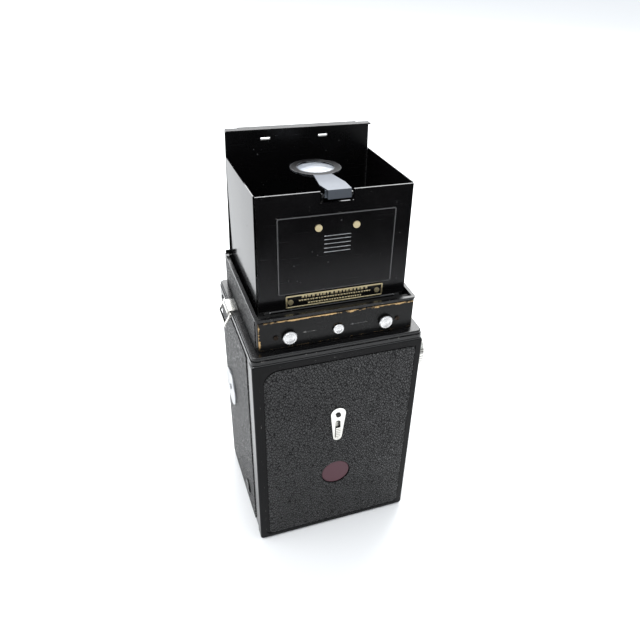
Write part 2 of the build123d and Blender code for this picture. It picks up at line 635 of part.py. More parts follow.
# ---------------------------------------------------------------- back door
DOOR_X = 42.0
DOOR_LOW = 0.6
DOOR_HIGH = 119.8
DOOR_FRONT = BODY_REAR + 0.2
with BuildPart() as back_door:
    with BuildSketch(front_plane(DOOR_RIM)):
        with Locations((0, (DOOR_LOW + DOOR_HIGH) / 2)):
            RectangleRounded(2 * DOOR_X, DOOR_HIGH - DOOR_LOW, 1.6)
    extrude(amount=DOOR_RIM - DOOR_FRONT)
    rear_edges = back_door.faces().sort_by(Axis.Y)[-1].edges()
    fillet(rear_edges, 0.8)
    with BuildSketch(front_plane(DOOR_RIM)):
        with Locations((0, 60.3)):
            RectangleRounded(77.6, 114.2, 3.0)
    extrude(amount=DOOR_RIM - DOOR_FACE, mode=Mode.SUBTRACT)
    slab(
        (-DOOR_X + DOOR_WALL, DOOR_X - DOOR_WALL),
        (DOOR_FRONT - 1, DOOR_FACE - DOOR_WALL),
        (DOOR_LOW + DOOR_WALL, DOOR_HIGH - 1.1),
        Mode.SUBTRACT,
    )
    # relief round the body's knuckles, and the door's own middle knuckle
    for side in (-1, 1):
        near, far = sorted((side * 21.6, side * 30.4))
        slab((near, far), (DOOR_FRONT - 1, 34.6), (0, 5.0), Mode.SUBTRACT)
        slab((near, far), (DOOR_FRONT - 1, 35.2), (0, 2.9), Mode.SUBTRACT)
    rod_x(1.7, (-21.2, 21.2), *DOOR_HINGE)
    slab((-21.2, 21.2), (DOOR_HINGE[0], 35.2), (0.9, 3.2))
    slab((-21.2, 21.2), (25, DOOR_HINGE[0] - 1.8), (0, 3), Mode.SUBTRACT)
    for side in (-1, 1):
        near, far = sorted((side * 30.8, side * 34.4))
        rod_x(1.7, (near, far), *DOOR_HINGE)
        slab((near, far), (DOOR_HINGE[0], 35.2), (0.9, 3.2))
    rod_x(DOOR_PIN_R + RUNNING, (-36, 36), *DOOR_HINGE, Mode.SUBTRACT)
    # red window and its seat
    rod_y(WINDOW_R - 0.6, 0, (30, 40), WINDOW_Z, Mode.SUBTRACT)
    rod_y(WINDOW_R + 0.1, 0, (DOOR_FACE - 0.9, 40), WINDOW_Z, Mode.SUBTRACT)
    # slider slot and pivot hole
    slab((-1.4, 1.4), (30, 40), (65.4, 77.2), Mode.SUBTRACT)
    rod_y(0.8, 0, (30, 40), BLADE_PIVOT_Z, Mode.SUBTRACT)
save(back_door, "back_door")


def teardrop(top_z, top_r, low_z, low_r):
    """Outline of a tapered plate: two circles joined by their hull."""
    with BuildSketch() as outline:
        with Locations((0, top_z)):
            Circle(top_r)
        with Locations((0, low_z)):
            Circle(low_r)
        make_hull()
    return outline.sketch


with BuildPart() as door_leather:
    with BuildSketch(front_plane(DOOR_FACE)):
        with BuildLine():
            corners = [(-38.6, 3.6), (36.8, 3.6), (36.8, 115.2), (-38.6, 115.2)]
            FilletPolyline(*corners, radius=[2.5, 2.5, 7.8, 2.5], close=True)
        make_face()
        with Locations((0, WINDOW_Z)):
            Circle(WINDOW_R + 0.3, mode=Mode.SUBTRACT)
        add(teardrop(81.6, 4.1, 66.4, 2.5), mode=Mode.SUBTRACT)
    extrude(amount=-LEATHER)
save(door_leather, "door_leather")

with BuildPart() as red_window:
    rod_y(WINDOW_R, 0, (DOOR_FACE - 0.9, DOOR_FACE - 0.1), WINDOW_Z)
    chamfer(red_window.faces().sort_by(Axis.Y)[-1].edges(), 0.3)
save(red_window, "red_window")

with BuildPart() as window_plate:
    with BuildSketch(front_plane(DOOR_FACE)):
        add(teardrop(81.6, 3.9, 66.4, 2.3))
        with Locations((0, 71.3)):
            SlotCenterToCenter(9.4, 2.8, rotation=90, mode=Mode.SUBTRACT)
        with Locations((0, BLADE_PIVOT_Z)):
            Circle(0.8, mode=Mode.SUBTRACT)
    extrude(amount=-0.7)
save(window_plate, "window_plate")

with BuildPart() as window_slider:
    # grooved thumb piece outside, stem through the slot, foot inside the door
    slab((-1.15, 1.15), (34.4, DOOR_FACE + 1.3), (66.1, 73.0))
    for step in range(5):
        z = 67.2 + step * 1.2
        slab((-2, 2), (DOOR_FACE + 0.95, DOOR_FACE + 2), (z - 0.25, z + 0.25), Mode.SUBTRACT)
    slab((-2.6, 2.6), (34.4, 34.85), (64.5, 74.5))
save(window_slider, "window_slider")

with BuildPart() as window_blade:
    # light-tight blade that hangs from a pivot and swings off the window
    with BuildSketch(front_plane(34.2)):
        with Locations((0, WINDOW_Z)):
            Circle(WINDOW_R + 1.4)
        with Locations((0, BLADE_PIVOT_Z)):
            Circle(2.6)
        make_hull()
    extrude(amount=0.4)
    rod_y(0.72, 0, (33.9, DOOR_FACE + 0.9), BLADE_PIVOT_Z)
    rod_y(1.3, 0, (DOOR_FACE + 0.75, DOOR_FACE + 1.2), BLADE_PIVOT_Z)
save(window_blade, "window_blade")

PLATE_REAR = 29.6
with BuildPart() as pressure_plate:
    with BuildSketch(front_plane(PLATE_REAR)):
        with Locations((0, TAKING_Z)):
            RectangleRounded(61.6, 59.4, 2.0)
    extrude(amount=1.2)
    # two bowed spring leaves riveted behind the plate
    for side in (-1, 1):
        with BuildSketch(side_plane(side * 24.0 - 3.0)):
            with BuildLine():
                Line((PLATE_REAR, TAKING_Z - 20), (PLATE_REAR, TAKING_Z - 14))
                ThreePointArc(
                    (PLATE_REAR, TAKING_Z - 14), (PLATE_REAR + 1.9, TAKING_Z), (PLATE_REAR, TAKING_Z + 14)
                )
                Line((PLATE_REAR, TAKING_Z + 14), (PLATE_REAR, TAKING_Z + 20))
                Line((PLATE_REAR, TAKING_Z + 20), (PLATE_REAR + 0.4, TAKING_Z + 20))
                Line((PLATE_REAR + 0.4, TAKING_Z + 20), (PLATE_REAR + 0.4, TAKING_Z + 14))
                ThreePointArc(
                    (PLATE_REAR + 0.4, TAKING_Z + 14),
                    (PLATE_REAR + 2.3, TAKING_Z),
                    (PLATE_REAR + 0.4, TAKING_Z - 14),
                )
                Line((PLATE_REAR + 0.4, TAKING_Z - 14), (PLATE_REAR + 0.4, TAKING_Z - 20))
                Line((PLATE_REAR + 0.4, TAKING_Z - 20), (PLATE_REAR, TAKING_Z - 20))
            make_face()
        extrude(amount=6.0)
save(pressure_plate, "pressure_plate")

# ---------------------------------------------------------------- film transport
KNOB_R = 10.2
KNOB_IN = -BODY_X - 2.0
KNOB_OUT = -BODY_X - 7.4
with BuildPart() as winding_knob:
    rod_x(KNOB_R, (KNOB_OUT, KNOB_IN), *TAKEUP)
    chamfer(winding_knob.faces().sort_by(Axis.X)[0].edges(), 0.6)
    # straight knurling
    with Locations(Location(((KNOB_OUT + KNOB_IN) / 2, *TAKEUP), (0, 90, 0))):
        with PolarLocations(KNOB_R, 40):
            Cylinder(0.35, 12, mode=Mode.SUBTRACT)
    # dished face with a raised middle
    rod_x(7.6, (KNOB_OUT - 1, KNOB_OUT + 0.5), *TAKEUP, Mode.SUBTRACT)
    rod_x(3.0, (KNOB_OUT, KNOB_OUT + 1), *TAKEUP)
    # shaft with a flat drive key
    rod_x(4.6, (KNOB_IN, -BODY_X - 0.5), *TAKEUP)
    rod_x(2.2, (-BODY_X - 0.6, -SPOOL_HALF - 0.1), *TAKEUP)
    key_y = (TAKEUP[0] - 1.9, TAKEUP[0] + 1.9)
    slab((-SPOOL_HALF - 0.2, -SPOOL_HALF + 2.6), key_y, (TAKEUP[1] - 0.5, TAKEUP[1] + 0.5))
save(winding_knob, "winding_knob")

with BuildPart() as takeup_spool:
    rod_x(3.6, (-SPOOL_HALF, SPOOL_HALF), *TAKEUP)
    for side in (-1, 1):
        near, far = sorted((side * (SPOOL_HALF - 0.7), side * SPOOL_HALF))
        rod_x(SPOOL_FLANGE, (near, far), *TAKEUP)
    # through slot for the paper leader
    slab((-16, 16), (TAKEUP[0] - 5, TAKEUP[0] + 5), (TAKEUP[1] - 0.6, TAKEUP[1] + 0.6), Mode.SUBTRACT)
    # key slot on the knob's side and a round hole for the stub
    slab(
        (-SPOOL_HALF - 1, -SPOOL_HALF + 3.2),
        (TAKEUP[0] - 2.1, TAKEUP[0] + 2.1),
        (TAKEUP[1] - 0.7, TAKEUP[1] + 0.7),
        Mode.SUBTRACT,
    )
    rod_x(2.06, (SPOOL_HALF - 3.2, SPOOL_HALF + 1), *TAKEUP, Mode.SUBTRACT)
save(takeup_spool, "takeup_spool")

with BuildPart() as supply_pin:
    rod_x(3.8, (BODY_X + 0.1, BODY_X + 1.2), *SUPPLY)
    chamfer(supply_pin.faces().sort_by(Axis.X)[-1].edges(), 0.3)
    slot_y = (SUPPLY[0] - 5, SUPPLY[0] + 5)
    slab((BODY_X + 0.8, BODY_X + 2), slot_y, (SUPPLY[1] - 0.4, SUPPLY[1] + 0.4), Mode.SUBTRACT)
    rod_x(2.0, (FRAME_X - 2.6, BODY_X + 0.2), *SUPPLY)
save(supply_pin, "supply_pin")


def film_roller(place):
    with BuildPart() as roller:
        rod_x(ROLLER_R, (-FRAME_X + 0.3, FRAME_X - 0.3), *place)
        chamfer(roller.edges().filter_by(GeomType.CIRCLE), 0.3)
        rod_x(0.8, (-FRAME_X - 1.0, FRAME_X + 1.0), *place)
    return roller


save(film_roller(TOP_ROLLER), "film_roller_top")
save(film_roller(LOW_ROLLER), "film_roller_bottom")

# ---------------------------------------------------------------- sides
LUG_Y = -9.5
RING_HALF = 7.9
RING_AXIS = (BODY_X + 1.3, DECK_TOP - 0.6)


def strap_lug(side):
    """Folded plate over the deck's edge with a barrel for the ring's bar."""
    with BuildPart() as lug:
        near, far = sorted((side * (HEAD_X + 0.7), side * (BODY_X + 1.6)))
        slab((near, far), (LUG_Y - 5.4, LUG_Y + 5.4), (DECK_TOP, DECK_TOP + 0.9))
        rod_y(1.35, side * RING_AXIS[0], (LUG_Y - 5.4, LUG_Y + 5.4), RING_AXIS[1])
        rod_y(0.88, side * RING_AXIS[0], (LUG_Y - 8, LUG_Y + 8), RING_AXIS[1], Mode.SUBTRACT)
    return lug.part


with BuildPart() as strap_lugs:
    add(strap_lug(1))
    add(strap_lug(-1))
save(strap_lugs, "strap_lugs")

RING_DROP = 60.0         # degrees that the ring hangs below level


def strap_ring(side):
    """A flat rectangular loop on a round bar, hanging outwards."""
    reach = 6.2
    out = (side * math.cos(math.radians(RING_DROP)), 0, -math.sin(math.radians(RING_DROP)))
    middle = (side * RING_AXIS[0], LUG_Y, RING_AXIS[1])
    loop_plane = Plane(origin=middle, x_dir=out, z_dir=(-out[2], 0, out[0]))
    with BuildPart() as ring:
        with BuildSketch(loop_plane.offset(-0.55)):
            with Locations((reach / 2, 0)):
                RectangleRounded(reach + 1.1, 2 * RING_HALF, 0.5)
            with Locations((reach / 2 - 0.35, 0)):
                RectangleRounded(reach - 1.3, 2 * RING_HALF - 2.8, 0.3, mode=Mode.SUBTRACT)
            with Locations((0, 0)):
                Rectangle(3.6, 11.6, mode=Mode.SUBTRACT)
        extrude(amount=1.1)
        fillet(ring.edges().filter_by(GeomType.LINE).group_by(Edge.length)[-1], 0.25)
        rod_y(0.8, side * RING_AXIS[0], (LUG_Y - RING_HALF, LUG_Y + RING_HALF), RING_AXIS[1])
    return ring


save(strap_ring(1), "strap_ring_left")
save(strap_ring(-1), "strap_ring_right")

SIDE_DISC = (-19.6, 65.5)
with BuildPart() as side_disc:
    rod_x(10.5, (BODY_X + LEATHER, BODY_X + LEATHER + 1.0), *SIDE_DISC)
    chamfer(side_disc.faces().sort_by(Axis.X)[-1].edges(), 0.3)
    rod_x(1.6, (BODY_X + LEATHER + 1.0, BODY_X + LEATHER + 1.5), *SIDE_DISC)
save(side_disc, "side_disc")

# ---------------------------------------------------------------- lens board, shutter and lenses
with BuildPart() as lens_board:
    with BuildSketch(front_plane(BODY_FRONT - 1.2)):
        with Locations((0, (BOARD_LOW + BOARD_HIGH) / 2)):
            RectangleRounded(2 * BOARD_X, BOARD_HIGH - BOARD_LOW, 9.0)
        with Locations((0, TAKING_Z), (0, VIEWING_Z)):
            Circle(12.0, mode=Mode.SUBTRACT)
    extrude(amount=BODY_FRONT - 1.2 - BOARD_Y)
    chamfer(lens_board.faces().sort_by(Axis.Y)[0].edges().filter_by(lambda e: e.length > 8), 0.5)
save(lens_board, "lens_board")

HOUSING_R = 20.0
with BuildPart() as shutter_housing:
    rod_y(HOUSING_R, 0, (HOUSING_FRONT, BOARD_Y), TAKING_Z)
    fillet(shutter_housing.faces().sort_by(Axis.Y)[0].edges(), 0.6)
    rod_y(11.9, 0, (BOARD_Y - 1, -30.5), TAKING_Z)
    # front barrel that the speed ring and the gear ring turn on
    rod_y(12.4, 0, (-49.4, HOUSING_FRONT + 1), TAKING_Z)
    rod_y(10.5, 0, (-60, -20), TAKING_Z, Mode.SUBTRACT)
    # blade chamber
    rod_y(16.0, 0, (-42.6, -41.0), TAKING_Z, Mode.SUBTRACT)
    # cable release socket
    with BuildSketch(Plane(origin=(0, -41.5, TAKING_Z), x_dir=(0, 1, 0), z_dir=(-0.8, 0, -0.6)).offset(19.2)):
        Circle(2.0)
    extrude(amount=4.2)
    with BuildSketch(Plane(origin=(0, -41.5, TAKING_Z), x_dir=(0, 1, 0), z_dir=(-0.8, 0, -0.6)).offset(23.5)):
        Circle(1.2)
    extrude(amount=-3.0, mode=Mode.SUBTRACT)
save(shutter_housing, "shutter_housing")

with BuildPart() as shutter_blades:
    # five thin blades closed behind each other
    for step in range(5):
        y = -42.4 + 0.28 * step
        with BuildSketch(front_plane(y)):
            with Locations((0, TAKING_Z)):
                with PolarLocations(7.2, 1, start_angle=72.0 * step):
                    Ellipse(8.2, 5.8)
        extrude(amount=-0.16)
save(shutter_blades, "shutter_blades")


def lens_glass(centre_z, front_y, back_y, radius, bulge):
    """A lens with two convex faces."""
    with BuildPart() as glass:
        with BuildSketch(Plane.YZ):
            with BuildLine():
                half = radius / 2
                drop = dome_sag(radius, bulge, half)
                Line((front_y - bulge, centre_z), (back_y + bulge, centre_z))
                ThreePointArc(
                    (back_y + bulge, centre_z),
                    (back_y + bulge - drop, centre_z + half),
                    (back_y, centre_z + radius),
                )
                Line((back_y, centre_z + radius), (front_y, centre_z + radius))
                ThreePointArc(
                    (front_y, centre_z + radius),
                    (front_y - bulge + drop, centre_z + half),
                    (front_y - bulge, centre_z),
                )
            make_face()
        revolve(axis=Axis((0, 0, centre_z), (0, 1, 0)))
    return glass


GLASS_R = 10.37
save(lens_glass(TAKING_Z, -36.0, -33.5, GLASS_R, 1.0), "rear_glass")

TUBE_R = 17.0
with BuildPart() as viewing_tube:
    rod_y(TUBE_R, 0, (-47.0, BOARD_Y), VIEWING_Z)
    fillet(viewing_tube.faces().sort_by(Axis.Y)[0].edges(), 0.8)
    rod_y(12.4, 0, (-49.4, -46.5), VIEWING_Z)
    rod_y(11.9, 0, (BOARD_Y - 1, -30.5), VIEWING_Z)
    rod_y(10.5, 0, (-60, -20), VIEWING_Z, Mode.SUBTRACT)
save(viewing_tube, "viewing_tube")


def focus_ring(centre_z, first_tooth):
    """A gear ring: the two rings mesh, so both lenses focus together."""
    root_r = GEAR_PITCH - 0.75
    tip_r = GEAR_PITCH + 0.6
    with BuildPart() as ring:
        with BuildSketch(Plane(origin=(0, GEAR_BACK, centre_z), x_dir=(1, 0, 0), z_dir=(0, -1, 0))):
            Circle(root_r)
            with PolarLocations(root_r, GEAR_TEETH, start_angle=first_tooth):
                high = tip_r - root_r
                Polygon((-0.3, -0.62), (high, -0.3), (high, 0.3), (-0.3, 0.62), align=None)
            Circle(CELL_BODY_R + 0.1, mode=Mode.SUBTRACT)
        extrude(amount=GEAR_BACK - GEAR_FRONT)
        # smooth grip in front of the teeth
        rod_y(18.4, 0, (GEAR_FRONT - 1.2, GEAR_FRONT), centre_z)
        rod_y(CELL_BODY_R + 0.1, 0, (-60, -40), centre_z, Mode.SUBTRACT)
    return ring


TOOTH_PITCH = 360.0 / GEAR_TEETH
save(focus_ring(TAKING_Z, 90.0), "taking_focus_ring")
save(focus_ring(VIEWING_Z, -90.0 + TOOTH_PITCH / 2), "viewing_focus_ring")


def lens_cell(centre_z):
    """Screw-in cell that moves forwards as its gear ring turns."""
    with BuildPart() as cell:
        rod_y(CELL_R, 0, (CELL_FRONT, RIM_BACK), centre_z)
        chamfer(cell.faces().sort_by(Axis.Y)[0].edges(), 0.3)
        rod_y(CELL_BODY_R, 0, (RIM_BACK, -49.8), centre_z)
        rod_y(10.4, 0, (-60, -40), centre_z, Mode.SUBTRACT)
        # bevelled mouth
        with BuildSketch(Plane.YZ):
            with BuildLine():
                Polyline(
                    (CELL_FRONT - 1, centre_z + 10.0),
                    (CELL_FRONT - 1, centre_z + 13.4),
                    (CELL_FRONT, centre_z + 13.1),
                    (CELL_FRONT + 2.4, centre_z + 10.4),
                    (CELL_FRONT + 2.4, centre_z + 10.0),
                    close=True,
                )
            make_face()
        revolve(axis=Axis((0, 0, centre_z), (0, 1, 0)), mode=Mode.SUBTRACT)
    return cell


save(lens_cell(TAKING_Z), "taking_lens_cell")
save(lens_cell(VIEWING_Z), "viewing_lens_cell")
save(lens_glass(TAKING_Z, -52.8, -50.8, GLASS_R, 0.8), "taking_glass")
save(lens_glass(VIEWING_Z, -52.8, -50.8, GLASS_R, 0.8), "viewing_glass")

with BuildPart() as speed_ring:
    rod_y(19.6, 0, (-48.7, -47.2), TAKING_Z)
    with Locations(Location((0, -48, TAKING_Z), (90, 0, 0))):
        with PolarLocations(19.6, 48):
            Cylinder(0.3, 6, mode=Mode.SUBTRACT)
    rod_y(12.5, 0, (-60, -40), TAKING_Z, Mode.SUBTRACT)
save(speed_ring, "speed_ring")


def ring_lever(y_back, y_front, inner_r, outer_r, middle, spread, reach):
    """An arc-shaped lever round the taking lens axis with a finger tab."""
    with BuildPart() as lever:
        with BuildSketch(front_plane(y_back)):
            with Locations((0, TAKING_Z)):
                Circle(outer_r)
                Circle(inner_r, mode=Mode.SUBTRACT)
            if spread < 360:
                with BuildLine():
                    far = 60
                    ends = [math.radians(middle - spread / 2), math.radians(middle + spread / 2)]
                    Polyline(
                        (0, TAKING_Z),
                        (far * math.cos(ends[0]), TAKING_Z + far * math.sin(ends[0])),
                        (far * math.cos(ends[1]), TAKING_Z + far * math.sin(ends[1])),
                        close=True,
                    )
                make_face(mode=Mode.INTERSECT)
        extrude(amount=y_back - y_front)
        turn = math.radians(middle)
        tab_plane = Plane(
            origin=(0, y_back, TAKING_Z), x_dir=(math.cos(turn), 0, math.sin(turn)), z_dir=(0, -1, 0)
        )
        with BuildSketch(tab_plane):
            with Locations(((outer_r + reach) / 2, 0)):
                RectangleRounded(reach - outer_r + 0.8, 2.6, 0.4)
        extrude(amount=y_back - y_front)
    return lever


save(ring_lever(-46.15, -47.05, 12.5, 19.4, 215, 360, 24.0), "aperture_lever")
save(ring_lever(-40.2, -41.2, 20.08, 21.2, 30, 26, 25.0), "cocking_lever")
save(ring_lever(-43.2, -44.4, 20.08, 21.2, 150, 26, 26.0), "release_lever")
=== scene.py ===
"""Looks of a twin lens reflex camera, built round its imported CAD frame. Metres, +Z up."""
import bpy
import math
import numpy as np
from mathutils import Matrix, Vector


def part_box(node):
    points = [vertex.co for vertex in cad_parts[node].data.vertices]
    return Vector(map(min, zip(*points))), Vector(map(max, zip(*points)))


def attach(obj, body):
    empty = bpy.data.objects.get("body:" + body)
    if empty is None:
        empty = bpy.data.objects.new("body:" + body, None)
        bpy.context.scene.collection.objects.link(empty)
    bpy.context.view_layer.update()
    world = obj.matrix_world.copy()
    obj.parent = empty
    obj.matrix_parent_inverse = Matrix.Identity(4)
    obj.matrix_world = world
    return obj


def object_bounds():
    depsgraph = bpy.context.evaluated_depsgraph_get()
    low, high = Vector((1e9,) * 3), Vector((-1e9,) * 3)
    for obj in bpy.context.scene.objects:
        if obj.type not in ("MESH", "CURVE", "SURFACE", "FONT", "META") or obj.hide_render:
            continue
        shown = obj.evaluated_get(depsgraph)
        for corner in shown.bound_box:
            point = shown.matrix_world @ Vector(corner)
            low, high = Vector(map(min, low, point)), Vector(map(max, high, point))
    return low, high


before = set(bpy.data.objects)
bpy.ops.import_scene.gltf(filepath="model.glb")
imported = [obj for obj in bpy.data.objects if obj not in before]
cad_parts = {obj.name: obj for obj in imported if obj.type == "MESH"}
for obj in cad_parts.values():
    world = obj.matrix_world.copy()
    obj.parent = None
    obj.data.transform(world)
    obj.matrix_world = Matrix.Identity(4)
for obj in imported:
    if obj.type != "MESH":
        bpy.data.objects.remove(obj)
cad_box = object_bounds()
MM = 0.001


# ---------------------------------------------------------------- camera, lights and floor
def place_camera():
    """Camera from its place, three angles and a lens shift. Yaw turns from -Y towards +X."""
    place = Vector((85.9, 261.4, 296.2)) * MM
    yaw, pitch, roll = (math.radians(a) for a in (-23.78, 36.18, 4.25))
    ahead = Vector((math.sin(yaw) * math.cos(pitch), -math.cos(yaw) * math.cos(pitch), -math.sin(pitch)))
    level_right = ahead.cross(Vector((0, 0, 1))).normalized()
    level_up = level_right.cross(ahead)
    right = math.cos(roll) * level_right + math.sin(roll) * level_up
    up = math.cos(roll) * level_up - math.sin(roll) * level_right
    data = bpy.data.cameras.new("camera")
    data.sensor_width = 36.0
    data.lens = 36.2
    data.shift_x = -0.0732
    data.shift_y = 0.0509
    data.clip_start = 0.01
    camera = bpy.data.objects.new("camera", data)
    turn = Matrix((right, up, -ahead)).transposed().to_4x4()
    camera.matrix_world = Matrix.Translation(place) @ turn
    bpy.context.scene.collection.objects.link(camera)
    bpy.context.scene.camera = camera


def soft_light(name, place, aim, size, power):
    """A square area light at a place, pointing at a point."""
    data = bpy.data.lights.new(name, "AREA")
    data.size = size
    data.energy = power
    light = bpy.data.objects.new(name, data)
    away = Vector(aim) - Vector(place)
    light.matrix_world = Matrix.Translation(place) @ away.to_track_quat("-Z", "Y").to_matrix().to_4x4()
    bpy.context.scene.collection.objects.link(light)


def studio():
    """Pale sweep, white surroundings and two soft boxes."""
    scene = bpy.context.scene
    scene.view_settings.view_transform = "Standard"
    world = bpy.data.worlds.new("white room")
    world.use_nodes = True
    world.node_tree.nodes["Background"].inputs["Color"].default_value = (0.93, 0.965, 1.0, 1)
    world.node_tree.nodes["Background"].inputs["Strength"].default_value = 0.94
    scene.world = world
    soft_light("key box", (0.9, 0.3, 1.5), (0, 0, 0.08), 0.9, 12)
    soft_light("back box", (-0.5, -1.1, 0.9), (0, 0, 0.12), 1.2, 14)
    soft_light("high back box", (-0.35, -0.75, 1.3), (0, 0, 0.15), 0.8, 9)
    soft_light("left box", (1.3, -0.6, 0.45), (0, 0, 0.06), 0.7, 5)
    side = 3.0
    mesh = bpy.data.meshes.new("floor")
    low = cad_box[0][2]
    corners = [(-side, -side, low), (side, -side, low), (side, side, low), (-side, side, low)]
    mesh.from_pydata(corners, [], [(0, 1, 2, 3)])
    floor = bpy.data.objects.new("floor", mesh)
    scene.collection.objects.link(floor)
    paper = bpy.data.materials.new("white paper")
    paper.use_nodes = True
    shader = paper.node_tree.nodes["Principled BSDF"]
    shader.inputs["Base Color"].default_value = (0.97, 0.975, 0.98, 1)
    shader.inputs["Roughness"].default_value = 0.7
    mesh.materials.append(paper)
    dark_card()


def dark_card():
    """A card behind the camera's view that only darkens what the glossy black paint reflects."""
    mesh = bpy.data.meshes.new("dark card")
    corners = [(-0.26, 0.215, 0.012), (0.22, 0.215, 0.012), (0.22, 0.225, 0.13), (-0.26, 0.225, 0.13)]
    mesh.from_pydata(corners, [], [(0, 1, 2, 3)])
    card = bpy.data.objects.new("dark card", mesh)
    bpy.context.scene.collection.objects.link(card)
    mat, tree, shader = material("graded card", {"Roughness": 1.0, "Specular IOR Level": 0.0})
    where = put(tree, "ShaderNodeTexCoord").outputs["Object"]
    height = put(tree, "ShaderNodeSeparateXYZ", {"Vector": where}).outputs["Z"]
    shade = ramp(tree, height, 0.018, 0.075, 0.0, 1.0)
    tone = blend_colour(tree, shade, (0.7, 0.7, 0.72, 1), (0.02, 0.02, 0.02, 1))
    tree.links.new(tone, shader.inputs["Base Color"])
    mesh.materials.append(mat)
    card.visible_camera = False
    card.visible_shadow = False
    card.visible_diffuse = False


# ---------------------------------------------------------------- shader helpers
def put(tree, kind, values=None, **settings):
    """Adds a node; each value is a number, a colour, or the socket that feeds it."""
    node = tree.nodes.new(kind)
    for key, value in settings.items():
        setattr(node, key, value)
    for key, value in (values or {}).items():
        if isinstance(value, bpy.types.NodeSocket):
            tree.links.new(value, node.inputs[key])
        else:
            node.inputs[key].default_value = value
    return node


def maths(tree, operation, first, second=0.0, clamp=False):
    return put(tree, "ShaderNodeMath", {0: first, 1: second}, operation=operation, use_clamp=clamp).outputs[0]


def ramp(tree, value, low, high, to_low=0.0, to_high=1.0):
    """Smooth step of a value from one number to another."""
    node = put(
        tree,
        "ShaderNodeMapRange",
        {"Value": value, "From Min": low, "From Max": high, "To Min": to_low, "To Max": to_high},
        interpolation_type="SMOOTHSTEP",
    )
    return node.outputs["Result"]


def blend_colour(tree, amount, first, second):
    node = tree.nodes.new("ShaderNodeMix")
    node.data_type = "RGBA"
    for slot, value in ((0, amount), (6, first), (7, second)):
        if isinstance(value, bpy.types.NodeSocket):
            tree.links.new(value, node.inputs[slot])
        else:
            node.inputs[slot].default_value = value
    return node.outputs[2]


def group(name, inputs, outputs):
    """An empty node group; inputs are (name, kind, default), outputs are names of float sockets."""
    tree = bpy.data.node_groups.new(name, "ShaderNodeTree")
    for label, kind, default in inputs:
        socket = tree.interface.new_socket(label, in_out="INPUT", socket_type=kind)
        socket.default_value = default
    for label in outputs:
        tree.interface.new_socket(label, in_out="OUTPUT", socket_type="NodeSocketFloat")
    return tree, tree.nodes.new("NodeGroupInput"), tree.nodes.new("NodeGroupOutput")


FLOAT = "NodeSocketFloat"
VECTOR = "NodeSocketVector"


def pebble_group():
    """Pebbled hide: slanted, drawn-out rounded cells of uneven size, and a crease mask for painted shade."""
    tree, given, result = group(
        "pebble grain", [("Cells per metre", FLOAT, 700.0)], ["Height", "Crease", "Tone"]
    )
    where = put(tree, "ShaderNodeTexCoord").outputs["Object"]
    cells = given.outputs["Cells per metre"]
    warp = put(tree, "ShaderNodeTexNoise", {"Vector": where, "Scale": cells, "Detail": 2.0})
    shift = put(
        tree, "ShaderNodeVectorMath", {0: warp.outputs["Color"], 1: (0.5, 0.5, 0.5)}, operation="SUBTRACT"
    )
    small = put(tree, "ShaderNodeVectorMath", {0: shift.outputs[0], "Scale": 0.0009}, operation="SCALE")
    moved = put(tree, "ShaderNodeVectorMath", {0: where, 1: small.outputs[0]}, operation="ADD")
    drawn = put(
        tree,
        "ShaderNodeMapping",
        {"Vector": moved.outputs[0], "Rotation": (0.0, 0.5, 0.0), "Scale": (1.25, 1.0, 0.7)},
    )
    edge = put(
        tree, "ShaderNodeTexVoronoi", {"Vector": drawn.outputs[0], "Scale": cells}, feature="DISTANCE_TO_EDGE"
    )
    fine = put(tree, "ShaderNodeTexNoise", {"Vector": where, "Scale": 5200.0, "Detail": 2.0})
    broad = put(tree, "ShaderNodeTexNoise", {"Vector": where, "Scale": 60.0, "Detail": 3.0})
    dome = ramp(tree, edge.outputs["Distance"], 0.0, 0.40)
    grain = maths(tree, "MULTIPLY", fine.outputs["Fac"], 0.12)
    height = maths(tree, "ADD", dome, grain)
    crease = ramp(tree, edge.outputs["Distance"], 0.15, 0.02)
    tree.links.new(height, result.inputs["Height"])
    tree.links.new(crease, result.inputs["Crease"])
    tree.links.new(broad.outputs["Fac"], result.inputs["Tone"])
    return tree


def wear_group():
    """Paint rubbed off along edges: where a rounded normal leaves the flat one, broken by noise."""
    tree, given, result = group("edge wear", [("Width", FLOAT, 0.0004), ("Amount", FLOAT, 0.4)], ["Mask"])
    where = put(tree, "ShaderNodeTexCoord").outputs["Object"]
    rounded = put(tree, "ShaderNodeBevel", {"Radius": given.outputs["Width"]}, samples=4)
    flat = put(tree, "ShaderNodeNewGeometry")
    along = put(
        tree,
        "ShaderNodeVectorMath",
        {0: rounded.outputs["Normal"], 1: flat.outputs["Normal"]},
        operation="DOT_PRODUCT",
    )
    edge = ramp(tree, along.outputs["Value"], 0.985, 0.86)
    patches = put(
        tree, "ShaderNodeTexNoise", {"Vector": where, "Scale": 420.0, "Detail": 4.0, "Roughness": 0.65}
    )
    gate = maths(tree, "SUBTRACT", 1.0, given.outputs["Amount"])
    broken = put(
        tree,
        "ShaderNodeMapRange",
        {"Value": patches.outputs["Fac"], "From Min": gate, "From Max": maths(tree, "ADD", gate, 0.12)},
    )
    tree.links.new(maths(tree, "MULTIPLY", edge, broken.outputs["Result"], clamp=True), result.inputs["Mask"])
    return tree


